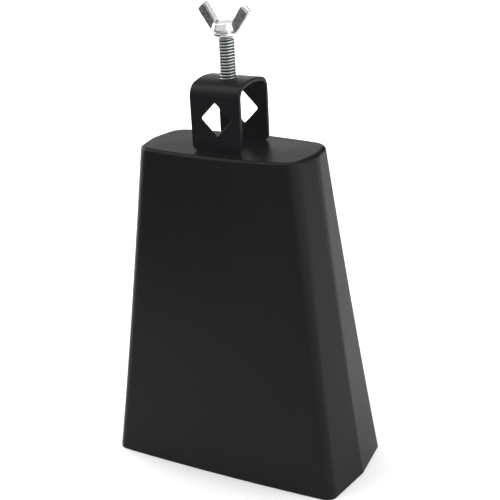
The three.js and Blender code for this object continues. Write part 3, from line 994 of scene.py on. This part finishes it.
# the lights fall off a metre from the bell: beyond that the floor is seen as evenly pale
fn = floor_mat.node_tree
where = fn.nodes.new("ShaderNodeNewGeometry")
reach = fn.nodes.new("ShaderNodeVectorMath")
reach.operation = "LENGTH"
fn.links.new(where.outputs["Position"], reach.inputs[0])
far = fn.nodes.new("ShaderNodeMapRange")
far.interpolation_type = "SMOOTHSTEP"
far.inputs["From Min"].default_value, far.inputs["From Max"].default_value = 0.45, 1.15
far.inputs["To Min"].default_value, far.inputs["To Max"].default_value = 0.0, 0.93
fn.links.new(reach.outputs["Value"], far.inputs["Value"])
ray = fn.nodes.new("ShaderNodeLightPath")
seen = fn.nodes.new("ShaderNodeMath")
seen.operation = "MULTIPLY"
fn.links.new(far.outputs["Result"], seen.inputs[0])
fn.links.new(ray.outputs["Is Camera Ray"], seen.inputs[1])
glow = fn.nodes.new("ShaderNodeEmission")
fn.links.new(seen.outputs[0], glow.inputs["Strength"])
both = fn.nodes.new("ShaderNodeAddShader")
fn.links.new(fb.outputs[0], both.inputs[0])
fn.links.new(glow.outputs[0], both.inputs[1])
fn.links.new(both.outputs[0], fn.nodes["Material Output"].inputs["Surface"])

bm = bmesh.new()
bmesh.ops.create_circle(bm, cap_ends=True, segments=96, radius=4.0)
me = bpy.data.meshes.new("floor")
bm.to_mesh(me)
bm.free()
floor = bpy.data.objects.new("floor", me)
bpy.context.scene.collection.objects.link(floor)
floor.location = (0, 0, -0.0001)
me.materials.append(floor_mat)


def card(name, azimuth, distance, width, z0, z1):
    """A black studio card beside the camera. It shows in reflections only and throws no shadow."""
    a = math.radians(azimuth)
    mid = Vector((math.sin(a) * distance, -math.cos(a) * distance, 0))
    side = Vector((math.cos(a), math.sin(a), 0)) * (width / 2)
    me = bpy.data.meshes.new(name)
    me.from_pydata([mid - side + Vector((0, 0, z0)), mid + side + Vector((0, 0, z0)),
                    mid + side + Vector((0, 0, z1)), mid - side + Vector((0, 0, z1))], [], [(0, 1, 2, 3)])
    ob = bpy.data.objects.new(name, me)
    bpy.context.scene.collection.objects.link(ob)
    mat = bpy.data.materials.new(name)
    mat.use_nodes = True
    nt = mat.node_tree
    nt.nodes.clear()
    e = nt.nodes.new("ShaderNodeEmission")
    e.inputs["Strength"].default_value = 0.0
    nt.links.new(e.outputs[0], nt.nodes.new("ShaderNodeOutputMaterial").inputs[0])
    me.materials.append(mat)
    ob.visible_camera = ob.visible_diffuse = ob.visible_shadow = False
    ob.visible_transmission = ob.visible_volume_scatter = False
    return ob


card("dark_card", -50, 0.36, 0.46, 0.0, 0.20)


def softbox(name, at, aim, size, radiance, spread=180):
    light = bpy.data.lights.new(name, "AREA")
    light.shape = "RECTANGLE"
    light.size, light.size_y = size
    light.energy = radiance * math.pi * size[0] * size[1]
    light.spread = math.radians(spread)
    ob = bpy.data.objects.new(name, light)
    bpy.context.scene.collection.objects.link(ob)
    ob.location = at
    ob.rotation_mode = "QUATERNION"
    ob.rotation_quaternion = (Vector(aim) - Vector(at)).to_track_quat("-Z", "Y")
    ob.visible_camera = False
    return ob


softbox("top_left_light", (-0.60, -0.40, 1.15), (0.0, 0.0, 0.1), (0.8, 0.8), 3.95)
softbox("back_right_light", (0.75, 0.85, 1.05), (0.0, 0.0, 0.2), (0.6, 0.6), 1.12)
softbox("back_panel", (-0.75, 1.30, 0.50), (0.0, 0.0, 0.12), (1.2, 0.8), 1.06)
softbox("floor_far_light", (-0.80, 1.50, 1.70), (-0.80, 1.5001, 0.0), (3.9, 2.8), 0.96, 80)
softbox("floor_near_light", (-0.05, 0.05, 2.00), (-0.05, 0.0501, 0.0), (1.6, 1.6), 0.24, 60)
softbox("right_light", (1.20, 0.35, 0.45), (0.0, 0.0, 0.1), (0.8, 0.8), 5.2)
softbox("right_front_light", (1.10, -0.50, 0.50), (0.0, 0.0, 0.1), (0.8, 0.8), 4.6)
softbox("left_light", (-1.10, 0.20, 0.50), (0.0, 0.0, 0.1), (0.8, 0.8), 3.9)
softbox("left_front_light", (-0.80, -0.90, 0.50), (0.0, 0.0, 0.1), (0.8, 0.8), 0.90)
softbox("front_panel", (0.40, -1.36, 0.86), (0.0, 0.0, 0.22), (2.2, 0.42), 1.15)

world = bpy.data.worlds.new("studio")
bpy.context.scene.world = world
world.use_nodes = True
wn = world.node_tree
wn.nodes.clear()
wout = wn.nodes.new("ShaderNodeOutputWorld")
wbg = wn.nodes.new("ShaderNodeBackground")
wbg.inputs["Color"].default_value = (1, 1, 1, 1)
wbg.inputs["Strength"].default_value = 0.0
# the far wall of the studio looks pale, but lights nothing
wall = wn.nodes.new("ShaderNodeBackground")
wall.inputs["Color"].default_value = (0.93, 0.93, 0.93, 1)
path = wn.nodes.new("ShaderNodeLightPath")
pick = wn.nodes.new("ShaderNodeMixShader")
wn.links.new(path.outputs["Is Camera Ray"], pick.inputs[0])
wn.links.new(wbg.outputs[0], pick.inputs[1])
wn.links.new(wall.outputs[0], pick.inputs[2])
wn.links.new(pick.outputs[0], wout.inputs[0])

scene = bpy.context.scene
scene.view_settings.view_transform = "Standard"
scene.view_settings.look = "None"
scene.view_settings.exposure = 0.0
scene.view_settings.gamma = 1.0
# a trace of lens flare lifts the deepest blacks
scene.view_settings.use_curve_mapping = True
scene.view_settings.curve_mapping.black_level = (-0.0075, -0.0075, -0.0087)
scene.view_settings.curve_mapping.update()

# -------------------------------------------------------------------- camera
cam = bpy.data.cameras.new("camera")
cam.lens, cam.sensor_width = 82.12, 36.0
cam.clip_start, cam.clip_end = 0.02, 20
cam_ob = bpy.data.objects.new("camera", cam)
bpy.context.scene.collection.objects.link(cam_ob)
az, el, roll = math.radians(29.845), math.radians(21.169), math.radians(-2.95)
back = Vector((math.sin(az) * math.cos(el), -math.cos(az) * math.cos(el), math.sin(el)))
right = Vector((math.cos(az), math.sin(az), 0))
up = back.cross(right)
r2 = right * math.cos(roll) + up * math.sin(roll)
u2 = -right * math.sin(roll) + up * math.cos(roll)
m = Matrix((r2, u2, back)).transposed().to_4x4()
m.translation = Vector((0.267447, -0.453984, 0.314779))
cam_ob.matrix_world = m
bpy.context.scene.camera = cam_ob
